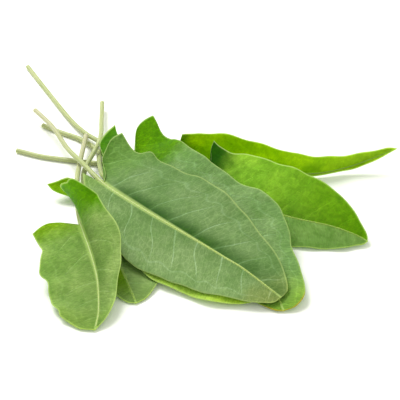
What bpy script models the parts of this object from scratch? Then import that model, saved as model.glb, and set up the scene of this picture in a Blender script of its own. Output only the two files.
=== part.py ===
"""A bunch of seven picked sorrel leaves lying on a flat surface.

Each leaf is one closed solid: its stalk, the midrib that the stalk runs into, and the arrow-shaped blade.
Lengths are millimetres until a mesh is made, and the finished objects are in metres with +Z up.
"""

import math
from dataclasses import dataclass

import bmesh
import bpy
import numpy as np
from mathutils import Vector

MM = 0.001

BLADE_THICK = 0.62
RIB_PROUD = 0.45
STALK_SIDES = 8
STALK_STEP = 7.0
SINUS_ROWS = 6
SIDE_ROWS = 19
COLUMNS = (0.0, 0.05, 0.28, 0.52, 0.76, 1.0)
WAVE_LENGTH = 21.0
CURVE_SAMPLES = 40

# The clear gap left between a blade and whatever it lies on, and how far a lower edge is felt around itself.
GAP = 0.5
REACH = 4
FIELD_X = (-135, 135)
FIELD_Y = (-130, 160)

# Where the middle of the bunch lies in the coordinates that the leaves are laid out in.
MIDDLE_X = -0.08
MIDDLE_Y = 17.81


@dataclass
class Half:
    """One half of a blade. Its edges are (along, across) points in millimetres from the blade's base and midrib."""

    back: list
    side: list
    fold: tuple
    curl: float = 0.0
    lobe_lift: float = 0.0
    wave: float = 0.8
    wave_shift: float = 0.0

    @property
    def width(self):
        return max(x for _, x in self.side)

    @property
    def lobe_back(self):
        return max(1.0, -min(y for y, _ in self.back))


@dataclass
class Leaf:
    """A leaf: the stalk's points from its cut end, then the midrib's from the blade's base to its tip."""

    name: str
    stalk: list
    rib: list
    left: Half
    right: Half
    stalk_width: float = 3.0
    also_over: tuple = ()
    tint: tuple = (0.22, 0.42, 0.12)


# From the lowest leaf to the topmost, the order in which their blades are laid. A half's back edge runs from
# the stalk to the tip of the lobe and its side edge on from there to the leaf's tip. Its fold is in degrees
# above level at the lobe, the base, the middle and the tip.
LEAVES = [
    Leaf(
        "leaf_far",
        stalk=[(-60, 49.5, 1.3), (-51, 43, 1.3), (-42, 38.5, 1.4), (-28, 37, 3)],
        rib=[(-11, 34, 6), (9, 28, 5), (35, 22, 3.5), (66, 22, 2.5), (85, 26, 3.5), (101, 29, 8), (116, 30, 15)],
        left=Half(
            back=[(0, 1), (0, 6), (-1, 10), (0, 14)],
            side=[
                (0, 14), (5, 15), (10, 17), (20, 20), (33, 21), (46, 20), (58, 18), (70, 15), (89, 11), (105, 8),
                (118, 5), (127, 3), (132, 0),
            ],
            fold=(70, 70, 94, 80),
            wave=0.5,
        ),
        right=Half(
            back=[(0, 1), (-1, 3), (-3, 6)],
            side=[(-3, 6), (25, 11), (50, 8), (70, 3), (85, 2), (96, 2), (105, 3), (113, 3), (122, 2), (132, 0)],
            fold=(-8, -8, -10, 0),
            wave=0.4,
        ),
    ),
    Leaf(
        "leaf_right",
        stalk=[
            (-111, 47, 1.3), (-96, 41, 1.3), (-84, 38, 1.4), (-70, 35, 1.5), (-57, 32, 1.9), (-38, 24, 4),
            (-18, 13, 7),
        ],
        rib=[(3, 3, 9), (17, -6, 9), (34, -17, 8), (50, -25, 7.5), (72, -31, 6), (85, -36, 4), (92, -40, 2.5)],
        left=Half(
            back=[(0, 0.5), (-1, 8), (-2, 15), (-4, 20), (-4, 25)],
            side=[
                (-4, 25), (1, 23), (7, 22), (14, 25), (23, 26), (37, 27), (52, 27), (67, 24), (78, 19), (86, 13),
                (93, 7), (98, 3), (100, 0),
            ],
            fold=(36, 36, 42, 30),
            curl=5,
            lobe_lift=2,
            wave=0.4,
        ),
        right=Half(
            back=[(0, 0.5), (-5, 8), (-10, 16)],
            side=[(-10, 16), (5, 20), (35, 22), (61, 18), (75, 16), (88, 12), (96, 6), (99, 3), (100, 0)],
            fold=(-6, -6, -14, -12),
            curl=-14,
            wave=0.5,
        ),
    ),
    Leaf(
        "leaf_low",
        stalk=[(-62, 94, 5), (-61, 74, 6.2), (-60, 50, 8.7), (-62, 38, 9.2), (-67, 24, 6.2), (-68, 14, 3)],
        rib=[(-64, 5, 2), (-56, -20, 1.6), (-46, -50, 1.6), (-33, -88, 0.8)],
        left=Half(
            back=[(0, 1), (-1, 8), (-1, 17)],
            side=[(-1, 17), (30, 26), (60, 25), (76, 22), (85, 17), (91, 12), (96, 6), (98, 0)],
            fold=(3, 3, 1, 2),
        ),
        right=Half(
            back=[(0, 1), (-5, 4), (-9, 9), (-9, 13), (-8, 17), (-7, 23)],
            side=[
                (-7, 23), (-3, 21), (1, 17), (4, 13), (8, 8), (16, 6), (26, 8), (40, 13), (60, 15), (85, 10),
                (95, 5), (98, 0),
            ],
            fold=(8, 8, 4, 2),
            lobe_lift=5,
        ),
    ),
    Leaf(
        "leaf_behind",
        stalk=[
            (-115, 143, 1.3), (-97, 109, 1.3), (-81, 79, 1.9), (-70, 61.5, 3.6), (-60, 49.5, 4.8), (-55, 33, 5.8),
            (-49, 20, 5.5),
        ],
        rib=[(-40, 8, 4), (-18, -10, 4.5), (8, -32, 4.5), (29, -57, 3.5), (38, -76, 2.5), (43, -94, 1)],
        left=Half(
            back=[(0, 1), (-6, 9), (-12, 17), (-17, 22), (-20, 27), (-20, 33), (-18, 39)],
            side=[
                (-18, 39), (-14, 38), (-8, 36), (-3, 36), (5, 38), (12, 39), (26, 36), (43, 33), (57, 31),
                (69, 33), (80, 33), (88, 29), (96, 25), (101, 21), (106, 19), (117, 17), (126, 15), (132, 12),
                (136, 6), (136, 0),
            ],
            fold=(24, 24, 27, 12),
            lobe_lift=8,
            wave=0.6,
        ),
        right=Half(
            back=[(0, 1), (-8, 7), (-14, 16)],
            side=[(-14, 16), (0, 22), (40, 27), (85, 25), (115, 17), (127, 12), (134, 5), (136, 0)],
            fold=(3, 3, -2, -2),
        ),
    ),
    Leaf(
        "leaf_under",
        stalk=[(-98, 74, 1.3), (-86, 66, 1.4), (-73, 57.7, 1.9), (-61, 43.5, 3), (-60, 33, 5.6), (-58, 20, 6)],
        rib=[(-53, 8, 7), (-28, -22, 7.3), (-2, -50, 6.3), (17, -72, 4.2), (31, -87, 1.5)],
        left=Half(
            back=[(0, 1), (-8, 5), (-20, 9), (-27, 12), (-30, 19), (-31, 26)],
            side=[
                (-31, 26), (-26, 24), (-21, 23), (-14, 21), (-5, 20), (10, 23), (25, 26), (50, 27), (78, 24),
                (102, 17), (118, 9), (124, 4), (127, 0),
            ],
            fold=(14, 14, 12, 6),
            lobe_lift=6,
            wave=0.5,
        ),
        right=Half(
            back=[(0, 1), (-2, 4), (-4, 9)],
            side=[
                (-4, 9), (8, 18), (40, 28), (68, 32), (80, 32), (92, 28), (105, 23), (112, 19), (118, 14),
                (123, 9), (126, 4), (127, 0),
            ],
            fold=(0, 0, -4, -4),
            curl=-4,
        ),
    ),
    Leaf(
        "leaf_front",
        stalk=[(-103, 81, 8), (-90, 61, 9), (-79, 38, 9.5), (-68, 19, 12)],
        rib=[(-55, -1, 13), (-33, -22, 12), (-9, -43, 11), (18, -65, 8), (42, -87, 3)],
        left=Half(
            back=[(0, 1), (-4, 5), (-12, 9), (-15, 14), (-18, 21), (-17, 28)],
            side=[
                (-17, 28), (-8, 27), (-1, 28), (6, 33), (15, 32), (29, 32), (45, 34), (62, 33), (79, 29),
                (93, 24), (107, 19), (117, 15), (125, 10), (130, 5), (130, 0),
            ],
            fold=(10, 10, 16, 12),
            curl=8,
            lobe_lift=7,
            wave=0.6,
        ),
        right=Half(
            back=[(0, 1), (-5, 4), (-10, 5), (-15, 3.5)],
            side=[
                (-15, 3.5), (-8, 8), (6, 16), (24, 25), (51, 33), (69, 32), (96, 26), (112, 19), (122, 13),
                (129, 6), (130, 0),
            ],
            fold=(6, 6, -10, -6),
            curl=-8,
            wave=0.6,
        ),
        also_over=("leaf_small",),
    ),
    Leaf(
        "leaf_small",
        stalk=[(-69, 55, 7.2), (-70.3, 38, 6.5), (-71, 24, 6.8), (-71, 14, 8.3), (-70.5, 4, 9.4), (-69, -14, 9.2)],
        rib=[(-65.5, -32, 8), (-59, -53, 6.5), (-54, -73, 4.5), (-52, -94, 2), (-53, -108, 1)],
        left=Half(
            back=[(0, 1), (-5, 3), (-10, 4), (-15, 6), (-19, 9), (-20, 13), (-18, 17), (-14, 20)],
            side=[
                (-14, 20), (-12, 24), (-8, 24), (-2, 23), (4, 22), (10, 22), (18, 23), (24, 23), (30, 22),
                (37, 19), (43, 17), (51, 13), (62, 10), (72, 5), (78, 0),
            ],
            fold=(130, 75, 52, 25),
            curl=-25,
            wave=0.5,
        ),
        right=Half(
            back=[(0, 0.5), (1, 5), (0, 9), (-1, 13), (1, 20), (8, 29)],
            side=[
                (8, 29), (15, 27), (20, 26), (27, 28), (31, 29), (36, 30), (40, 29), (44, 27), (48, 26),
                (53, 26), (58, 25), (62, 24), (67, 21), (70, 20), (73, 19), (76, 14), (79, 7), (79, 0),
            ],
            fold=(15, 15, 8, 4),
            wave=1.0,
        ),
    ),
]


def smooth_path(points, per_span=CURVE_SAMPLES):
    """Points of a smooth curve through the given ones."""
    p = np.array(points, float)
    p = np.vstack([2 * p[0] - p[1], p, 2 * p[-1] - p[-2]])
    found = []
    for i in range(1, len(p) - 2):
        for t in np.linspace(0, 1, per_span, endpoint=False):
            a = 2 * p[i]
            b = p[i + 1] - p[i - 1]
            c = 2 * p[i - 1] - 5 * p[i] + 4 * p[i + 1] - p[i + 2]
            d = -p[i - 1] + 3 * p[i] - 3 * p[i + 1] + p[i + 2]
            found.append((a + b * t + c * t * t + d * t**3) / 2)
    found.append(p[-2])
    return np.array(found)


class Spine:
    """The whole line of a leaf, measured from the blade's base: negative down the stalk, positive up the midrib."""

    def __init__(self, leaf):
        self.line = smooth_path(leaf.stalk + leaf.rib)
        run = np.concatenate([[0], np.cumsum(np.linalg.norm(np.diff(self.line, axis=0), axis=1))])
        base = run[len(leaf.stalk) * CURVE_SAMPLES]
        self.at = run - base
        self.stalk_length = base
        self.length = run[-1] - base

    def lift_over(self, field, leaf):
        """Raise the midrib, and the stalk near it, to clear what lies below."""
        need = rest_height(field, self.line, tube_depth(leaf, self)) - self.line[:, 2]
        ease = np.clip(1 + (self.at + 14) / 30, 0, 1)
        lift = np.clip(need, 0, None) * (self.at > -14)
        self.line[:, 2] += soften(lift, 0, 10) * ease

    def point(self, s):
        return np.array([np.interp(s, self.at, self.line[:, k]) for k in range(3)])

    def tangent(self, s):
        s = min(max(s, -self.stalk_length + 1), self.length - 1)
        t = self.point(s + 1) - self.point(s - 1)
        return t / np.linalg.norm(t)

    def frame(self, s):
        """Forward, left and up at a place on the blade; behind its base they run straight on."""
        forward = self.tangent(max(s, 0.0))
        left = np.cross((0, 0, 1), forward)
        left /= np.linalg.norm(left)
        return forward, left, np.cross(forward, left)


def height_field(surfaces):
    """The highest point of the given triangles over each square millimetre, and 0 where there are none."""
    field = np.zeros((FIELD_X[1] - FIELD_X[0], FIELD_Y[1] - FIELD_Y[0]))
    for triangle in surfaces:
        low = np.floor(triangle[:, :2].min(axis=0)).astype(int)
        high = np.ceil(triangle[:, :2].max(axis=0)).astype(int)
        (x0, y0, z0), (x1, y1, z1), (x2, y2, z2) = triangle
        area = (x1 - x0) * (y2 - y0) - (x2 - x0) * (y1 - y0)
        x, y = np.meshgrid(np.arange(low[0], high[0] + 1), np.arange(low[1], high[1] + 1), indexing="ij")
        if abs(area) < 1e-6:
            z = np.full(x.shape, triangle[:, 2].max())
        else:
            b = ((x - x0) * (y2 - y0) - (x2 - x0) * (y - y0)) / area
            c = ((x1 - x0) * (y - y0) - (x - x0) * (y1 - y0)) / area
            inside = (b > -0.2) & (c > -0.2) & (b + c < 1.2)
            z = z0 + np.clip(b, 0, 1) * (z1 - z0) + np.clip(c, 0, 1) * (z2 - z0)
            z = np.where(inside, np.minimum(z, triangle[:, 2].max()), 0)
        part = field[low[0] - FIELD_X[0] : high[0] + 1 - FIELD_X[0], low[1] - FIELD_Y[0] : high[1] + 1 - FIELD_Y[0]]
        np.maximum(part, z, out=part)
    return field


def spread(field):
    """The field widened by REACH on every side and then smoothed over the same reach."""
    wide = field.copy()
    for i in range(-REACH, REACH + 1):
        for j in range(-REACH, REACH + 1):
            if i * i + j * j <= REACH * REACH:
                np.maximum(wide, np.roll(field, (i, j), (0, 1)), out=wide)
    half = REACH // 2
    for _ in range(2):
        for axis in (0, 1):
            wide = sum(np.roll(wide, k, axis) for k in range(-half, half + 1)) / (2 * half + 1)
    return wide


def read_field(field, points):
    """The field's height under each of the points."""
    x = np.clip(points[..., 0] - FIELD_X[0], 0, field.shape[0] - 2)
    y = np.clip(points[..., 1] - FIELD_Y[0], 0, field.shape[1] - 2)
    i = x.astype(int)
    j = y.astype(int)
    u = x - i
    v = y - j
    low = field[i, j] * (1 - u) + field[i + 1, j] * u
    high = field[i, j + 1] * (1 - u) + field[i + 1, j + 1] * u
    return low * (1 - v) + high * v


def soften(values, axis, steps):
    """Values that are nowhere lower than the given ones and change gently along the axis."""
    edge = [(0, 0)] * values.ndim
    for _ in range(steps):
        edge[axis] = (1, 1)
        wide = np.pad(values, edge, mode="edge")
        rolled = [np.roll(wide, k, axis) for k in (-1, 0, 1)]
        top = np.max(rolled, axis=0)
        mean = (np.roll(top, 1, axis) + top + np.roll(top, -1, axis)) / 3
        values = np.take(mean, range(1, values.shape[axis] + 1), axis)
    return values


def rest_height(field, points, depth):
    """The lowest height at which something that reaches down by depth clears the field."""
    below = read_field(field, points)
    return below + (depth + GAP) * np.clip(below / 0.5, 0, 1)


def tube_radius(leaf, spine, s):
    """The radius of the stalk, and of the midrib, which tapers towards the tip."""
    share = np.clip(s / (0.9 * spine.length), 0, 1)
    return leaf.stalk_width / 2 * (1 - 0.72 * share**0.7)


def tube_sink(radius, s):
    """How far the middle of the tube lies below the blade, where it runs under it."""
    return np.clip((s + 8) / 12, 0, 1) * (radius - BLADE_THICK / 2 - RIB_PROUD)


def tube_depth(leaf, spine):
    """How far the tube reaches below each point of the leaf's line."""
    radius = tube_radius(leaf, spine, spine.at)
    return radius + tube_sink(radius, spine.at)


def along_path(points, count, last=False):
    """Evenly spaced points on the smooth curve through the given ones."""
    path = smooth_path(points, 12)
    run = np.concatenate([[0], np.cumsum(np.linalg.norm(np.diff(path, axis=0), axis=1))])
    t = np.linspace(0, run[-1], count, endpoint=last)
    return np.stack([np.interp(t, run, path[:, k]) for k in (0, 1)], axis=-1)


def outline_rows(half, length):
    """(along the midrib, margin point along, margin point across) for each row of one half, base to tip."""
    rows = []
    for i, (y, x) in enumerate(along_path(half.back, SINUS_ROWS)):
        rows.append((0.02 * length * i / SINUS_ROWS, y, x))
    stretch = length / half.side[-1][0]
    for i, (y, x) in enumerate(along_path(half.side, SIDE_ROWS + 1, last=True)):
        rib = 0.02 * length + 0.98 * length * (i / SIDE_ROWS) ** 1.12
        rows.append((rib, y * stretch, max(x, 0.0)))
    return rows


def blade_point(spine, half, side, along, across, margin):
    """The middle of the blade's thickness at a place on it. side is 1 left of the midrib and -1 right."""
    forward, left, up = spine.frame(along)
    base = spine.point(along) if along >= 0 else spine.point(0) + forward * along
    places = (-half.lobe_back, 0, 0.5 * spine.length, spine.length)
    fold = math.radians(np.interp(along, places, half.fold))
    bend = math.radians(half.curl) / half.width
    if abs(bend) < 1e-6:
        out = across * math.cos(fold)
        lift = across * math.sin(fold)
    else:
        out = (math.sin(fold + bend * across) - math.sin(fold)) / bend
        lift = (math.cos(fold) - math.cos(fold + bend * across)) / bend
    reach = across / max(margin, 1.0)
    turn = 2 * math.pi * (along / WAVE_LENGTH + half.wave_shift)
    ease = min(1.0, margin / (0.5 * half.width))
    lift += half.wave * ease * reach**2 * math.sin(turn)
    back = max(0.0, 0.1 * spine.length - along) / (half.lobe_back + 0.1 * spine.length)
    lift += half.lobe_lift * back**2 * reach
    return base + left * (side * out) + up * lift


def blade_grid(leaf, spine, field):
    """The middle surface as rows of points, from the left margin to the right one, laid over the field."""
    grid = []
    for left_row, right_row in zip(outline_rows(leaf.left, spine.length), outline_rows(leaf.right, spine.length)):
        row = []
        for half, side, (rib, y, x) in ((leaf.left, 1, left_row), (leaf.right, -1, right_row)):
            line = [blade_point(spine, half, side, rib + (y - rib) * v, x * v, x) for v in COLUMNS]
            row.append(line)
        grid.append(row[0][:0:-1] + row[1])
    grid = np.array(grid)
    need = rest_height(field, grid, BLADE_THICK / 2) - grid[..., 2]
    need[:, len(COLUMNS) - 1] = 0
    grid[..., 2] += soften(soften(np.clip(need, 0, None), 0, 1), 1, 1)
    return grid


def normals_of(grid):
    """The upward normal at each point of the grid."""
    along = np.gradient(grid, axis=0)
    across = np.gradient(grid, axis=1)
    normal = np.cross(across, along)
    size = np.linalg.norm(normal, axis=2, keepdims=True)
    return np.where(size > 1e-9, normal / np.maximum(size, 1e-9), (0, 0, 1))


def blade_mesh(leaf, spine, field):
    """The blade as one closed shell, split into triangles alike on both faces."""
    grid = blade_grid(leaf, spine, field)
    grid[-1] = grid[-1].mean(axis=0)
    offset = normals_of(grid) * BLADE_THICK / 2
    offset[-1] = offset[-2].mean(axis=0)
    grid[..., 2] = np.maximum(grid[..., 2], BLADE_THICK / 2)
    top = grid + offset
    under = grid - offset
    top[..., 2] = np.maximum(top[..., 2], BLADE_THICK)
    under[..., 2] = np.maximum(under[..., 2], 0.0)
    rows, columns = grid.shape[:2]
    mesh = bmesh.new()
    faces = {}
    for name, sheet in (("top", top), ("under", under)):
        verts = [[mesh.verts.new(sheet[r, c] * MM) for c in range(columns)] for r in range(rows - 1)]
        tip = mesh.verts.new(sheet[-1, 0] * MM)
        verts.append([tip] * columns)
        faces[name] = verts
    middle = columns // 2

    def add(a, b, c):
        if len({a, b, c}) == 3:
            mesh.faces.new((a, b, c))

    for name in ("top", "under"):
        v = faces[name]
        for r in range(rows - 1):
            for c in range(columns - 1):
                quad = (v[r][c], v[r][c + 1], v[r + 1][c + 1], v[r + 1][c])
                if c < middle:
                    corners = ((0, 1, 2), (0, 2, 3))
                else:
                    corners = ((0, 1, 3), (1, 2, 3))
                for i, j, k in corners:
                    if name == "top":
                        add(quad[i], quad[k], quad[j])
                    else:
                        add(quad[i], quad[j], quad[k])
    top_rim = [faces["top"][0][c] for c in range(columns)]
    under_rim = [faces["under"][0][c] for c in range(columns)]
    for r in range(1, rows):
        top_rim.append(faces["top"][r][-1])
        under_rim.append(faces["under"][r][-1])
    for r in range(rows - 2, -1, -1):
        top_rim.append(faces["top"][r][0])
        under_rim.append(faces["under"][r][0])
    for i in range(len(top_rim) - 1):
        add(top_rim[i], under_rim[i + 1], under_rim[i])
        add(top_rim[i], top_rim[i + 1], under_rim[i + 1])
    bmesh.ops.recalc_face_normals(mesh, faces=mesh.faces)
    return mesh


def stalk_mesh(leaf, spine):
    """The stalk and the midrib under the blade as one tapering tube with closed ends."""
    start = -spine.stalk_length
    stop = 0.9 * spine.length
    count = max(8, round((stop - start) / STALK_STEP))
    mesh = bmesh.new()
    rings = []
    for i in range(count + 1):
        s = start + (stop - start) * i / count
        forward = spine.tangent(s)
        side = np.cross((0, 0, 1), forward)
        side /= np.linalg.norm(side)
        up = np.cross(forward, side)
        radius = tube_radius(leaf, spine, s)
        centre = spine.point(s)
        sink = tube_sink(radius, s)
        ring = []
        for k in range(STALK_SIDES):
            a = 2 * math.pi * (k + 0.5) / STALK_SIDES
            p = centre + side * (math.cos(a) * radius) + up * (math.sin(a) * radius - sink)
            p[2] = max(p[2], 0.0)
            ring.append(mesh.verts.new(p * MM))
        rings.append(ring)
    for a, b in zip(rings, rings[1:]):
        for k in range(STALK_SIDES):
            m = (k + 1) % STALK_SIDES
            mesh.faces.new((a[k], a[m], b[m], b[k]))
    mesh.faces.new(rings[0][::-1])
    mesh.faces.new(rings[-1])
    bmesh.ops.recalc_face_normals(mesh, faces=mesh.faces)
    return mesh


def object_from(name, mesh, material=None):
    """A Blender object from a bmesh."""
    data = bpy.data.meshes.new(name)
    mesh.to_mesh(data)
    mesh.free()
    made = bpy.data.objects.new(name, data)
    if material:
        data.materials.append(material)
    bpy.context.scene.collection.objects.link(made)
    return made


def leaf_material(leaf):
    made = bpy.data.materials.new(leaf.name)
    made.use_nodes = True
    shader = made.node_tree.nodes["Principled BSDF"]
    shader.inputs["Base Color"].default_value = (*leaf.tint, 1)
    shader.inputs["Roughness"].default_value = 0.5
    return made


def triangles_of(mesh):
    """The triangles of a bmesh as an array of corners in millimetres."""
    return np.array([[loop.vert.co / MM for loop in loops] for loops in mesh.calc_loop_triangles()])


def drop_specks(mesh):
    """Remove loose bits of fewer than a dozen faces that the union leaves behind."""
    seen = set()
    for start in list(mesh.faces):
        if start in seen:
            continue
        island = {start}
        edge_of_island = [start]
        while edge_of_island:
            face = edge_of_island.pop()
            for edge in face.edges:
                for other in edge.link_faces:
                    if other not in island:
                        island.add(other)
                        edge_of_island.append(other)
        seen |= island
        if len(island) < 12:
            seen -= island
            bmesh.ops.delete(mesh, geom=list(island), context="FACES")


def tidy_joint(mesh):
    """Merge the slivers that the union leaves, as widely as keeps the mesh closed."""
    for reach in (0.02, 0.01, 0.004, 0.001):
        work = bmesh.new()
        work.from_mesh(mesh)
        bmesh.ops.remove_doubles(work, verts=work.verts, dist=reach * MM)
        bmesh.ops.dissolve_degenerate(work, edges=work.edges, dist=0.2 * reach * MM)
        bmesh.ops.triangulate(work, faces=work.faces)
        drop_specks(work)
        closed = all(len(edge.link_faces) == 2 for edge in work.edges)
        if closed:
            work.to_mesh(mesh)
        work.free()
        if closed:
            return


def build_leaf(leaf, spine, field):
    """One leaf: the blade with its stalk and midrib joined to it."""
    material = leaf_material(leaf)
    blade = object_from(leaf.name, blade_mesh(leaf, spine, field), material)
    stalk = object_from(leaf.name + "_stalk", stalk_mesh(leaf, spine), material)
    join = blade.modifiers.new("join_stalk", "BOOLEAN")
    join.operation = "UNION"
    join.solver = "MANIFOLD"
    join.object = stalk
    graph = bpy.context.evaluated_depsgraph_get()
    whole = bpy.data.meshes.new_from_object(blade.evaluated_get(graph))
    blade.modifiers.remove(join)
    blade.data = whole
    tidy_joint(whole)
    bpy.data.objects.remove(stalk)
    whole.shade_smooth()
    whole.set_sharp_from_angle(angle=math.radians(60))
    return blade


def main():
    for old in list(bpy.data.objects):
        bpy.data.objects.remove(old)
    spines = {leaf.name: Spine(leaf) for leaf in LEAVES}
    stalks = {}
    for leaf in LEAVES:
        tube = stalk_mesh(leaf, spines[leaf.name])
        stalks[leaf.name] = height_field(triangles_of(tube))
        tube.free()
    below = np.zeros_like(stalks[LEAVES[0].name])
    for leaf in LEAVES:
        spine = spines[leaf.name]
        under = below
        for other in leaf.also_over:
            under = np.maximum(under, stalks[other])
        under = spread(under)
        spine.lift_over(under, leaf)
        made = build_leaf(leaf, spine, under)
        made.data.calc_loop_triangles()
        co = np.array([v.co / MM for v in made.data.vertices])
        corners = np.array([t.vertices[:] for t in made.data.loop_triangles])
        below = np.maximum(below, height_field(co[corners]))
    shift = Vector((-MIDDLE_X, -MIDDLE_Y, 0)) * MM
    for made in bpy.data.objects:
        for vertex in made.data.vertices:
            vertex.co += shift


main()
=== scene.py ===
"""A bunch of sorrel leaves for its picture: fine blades and stalks, veins, floor, light and camera."""

import math
from dataclasses import dataclass

import bmesh
import bpy
import numpy as np
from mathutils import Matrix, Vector


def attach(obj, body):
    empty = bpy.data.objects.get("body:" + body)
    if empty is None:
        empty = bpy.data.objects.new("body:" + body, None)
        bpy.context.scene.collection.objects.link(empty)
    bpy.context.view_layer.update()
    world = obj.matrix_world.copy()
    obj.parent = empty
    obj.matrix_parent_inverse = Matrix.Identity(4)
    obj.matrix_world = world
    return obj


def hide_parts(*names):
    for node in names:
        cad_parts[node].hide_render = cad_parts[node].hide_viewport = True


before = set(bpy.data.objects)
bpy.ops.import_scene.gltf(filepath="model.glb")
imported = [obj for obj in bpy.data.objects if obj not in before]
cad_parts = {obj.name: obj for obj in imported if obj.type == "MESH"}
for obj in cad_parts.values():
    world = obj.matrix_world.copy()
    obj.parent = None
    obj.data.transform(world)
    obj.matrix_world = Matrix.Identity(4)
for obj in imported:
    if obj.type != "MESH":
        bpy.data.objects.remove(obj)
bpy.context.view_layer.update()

MM = 0.001

# The leaves are laid out in millimetres around this point, which is the middle of the bunch.
MIDDLE = (-0.08, 17.81)

# The blade's thickness, the share of it that is left at the margin, and how fast it is regained
BLADE_THICK = 0.42
EDGE_SHARE = 0.35
EDGE_SLOPE = 8

# The wave along the margins, and the part of a blade's length that lifts with its lobe
WAVE_LENGTH = 21.0
LOBE_LIFT_SHARE = 0.1

# How far the midrib stands out of the blade, how it narrows to the tip, and where it starts to sink
RIB_PROUD = 0.35
NARROWING = 0.72
NARROW_CURVE = 0.7
NARROW_END = 0.9
SINK_FROM = -8
SINK_OVER = 12

# The fine stalk stays just inside the plain one: where it starts and ends, and its radius
STALK_START = 0.2
MIDRIB_END = 0.97
STALK_SHARE = 0.95

# The gap between leaves, the height from which it is kept in full, and how gently a leaf is lifted
GAP = 0.62
FULL_GAP_HEIGHT = 0.5
LIFT_FROM = -14
LIFT_OVER = 30
LIFT_SOFTENING = 10
BLADE_SOFTENING = 3

# The area whose heights are kept, and how far each height reaches
FIELD_X = (-135, 135)
FIELD_Y = (-130, 160)
REACH = 4

# How finely the meshes are divided
SINUS_ROWS = 26
SIDE_ROWS = 120
HALF_COLUMNS = 30
BACK_ROWS_SHARE = 0.02
ROW_CROWDING = 1.12
STALK_STEP = 1.5
COVER_POINTS = 9
CURVE_SAMPLES = 40
MARGIN_SAMPLES = 12
TIP_MERGE = 1e-6

# How the veins lean, how sharp their loops are, and how far apart the leaves' patterns are taken
VEIN_LEAN = 0.45
LOOP_SCALE = 26.0
VEIN_SHIFT = 37.0
SEED_SHIFT = 11.0

# How far the colours' borders wander, and where the lobe's colour of painted backlight, the painted shade
# beside the midrib and the rim's painted glow fade
COLOUR_WANDER = 30.0
LOBE_GLOW_FADE = (10.0, -8.0)
PAINTED_SHADE_BAND = (0.8, 12.0)
RIM_GLOW_FADE = (0.2, 0.85)

# The mottling's levels between which it fades, and the net's strength beside the veins'
PATCH_FADE = (0.60, 0.40)
FIBRE_FADE = (0.32, 0.68)
NET_SHARE = 0.55

# Tints that are multiplied into a blade's green; the one beside the rib is painted shade, where the blade
# creases at the midrib
DARK_PATCH = (0.76, 0.86, 0.70, 1)
DARK_MOTTLE = (0.66, 0.76, 0.50, 1)
DARK_FIBRE = (0.60, 0.69, 0.54, 1)
PAINTED_SHADE_BESIDE_RIB = (0.17, 0.36, 0.06, 1)
PALE_VEIN = (1.7, 1.55, 2.3, 1)
PALE_NET = (1.5, 1.4, 1.5, 1)
LIT_THROUGH = (1.9, 1.9, 0.35, 1)

# Colours that are laid over it: the midrib's pale edges, and the rim's painted glow of the backlight
# along the thin margin
RIB_COLOUR = (0.46, 0.60, 0.20, 1)
RIM_GLOW_COLOUR = (0.54, 0.66, 0.25, 1)

# The stalk's colours, and the places on the leaf between which they change
STALK_DARK = (0.35, 0.41, 0.17, 1)
STALK_PALE = (0.43, 0.47, 0.23, 1)
STALK_PINK = (0.51, 0.46, 0.35, 1)
GREEN_MIDRIB = (0.26, 0.39, 0.06, 1)
PALE_MIDRIB = (0.38, 0.48, 0.14, 1)
PINK_FADE = (-20.0, -90.0)
MIDRIB_FADE = (-12.0, 10.0)

# The floor, in metres, just below the bunch, and the light from all round
FLOOR_HALF = 4
FLOOR_DROP = 0.2 * MM
FLOOR_COLOUR = (0.96, 0.965, 0.955, 1)
ROOM_COLOUR = (0.97, 1.0, 0.86, 1)
ROOM_STRENGTH = 0.75

# The camera, in degrees above level, metres from the bunch and millimetres of lens
CAMERA_HEIGHT = 38
CAMERA_DISTANCE = 0.70
CAMERA_LENS = 109.5


@dataclass
class Half:
    """One half of a blade. Its edges are points along and across it, in millimetres from the base."""

    back: list
    side: list
    fold: tuple
    curl: float = 0.0
    lobe_lift: float = 0.0
    wave: float = 0.8
    wave_shift: float = 0.0

    @property
    def width(self):
        return max(x for _, x in self.side)

    @property
    def lobe_back(self):
        return max(1.0, -min(y for y, _ in self.back))


@dataclass
class Look:
    """A blade's colours, over each half, at its lobes and at its tip, and how strong its markings are.

    The halves' colours are partly painted light and shade, from how the light falls on each half, and the
    lobes' colour is painted backlight coming through them. shade is the strength of the painted shade
    beside the midrib, and rim that of the painted glow along the margin.

    midrib is the half width of the pale band along the midrib, in millimetres.
    """

    left: tuple
    right: tuple
    left_lobe: tuple
    right_lobe: tuple
    left_tip: tuple
    right_tip: tuple
    tip_rim: tuple = (0.54, 0.66, 0.20)
    tip_from: float = 0.78
    through: float = 0.35
    veins: float = 0.35
    shade: float = 0.25
    mottle: float = 0.25
    rim: float = 0.75
    midrib: float = 2.7
    fibre: float = 0.75


@dataclass
class Leaf:
    """A leaf: the stalk's points from its cut end on, then the midrib's from the base to the tip."""

    name: str
    stalk: list
    rib: list
    left: Half
    right: Half
    look: Look
    stalk_width: float = 3.0
    also_over: tuple = ()
    seed: int = 0


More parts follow.
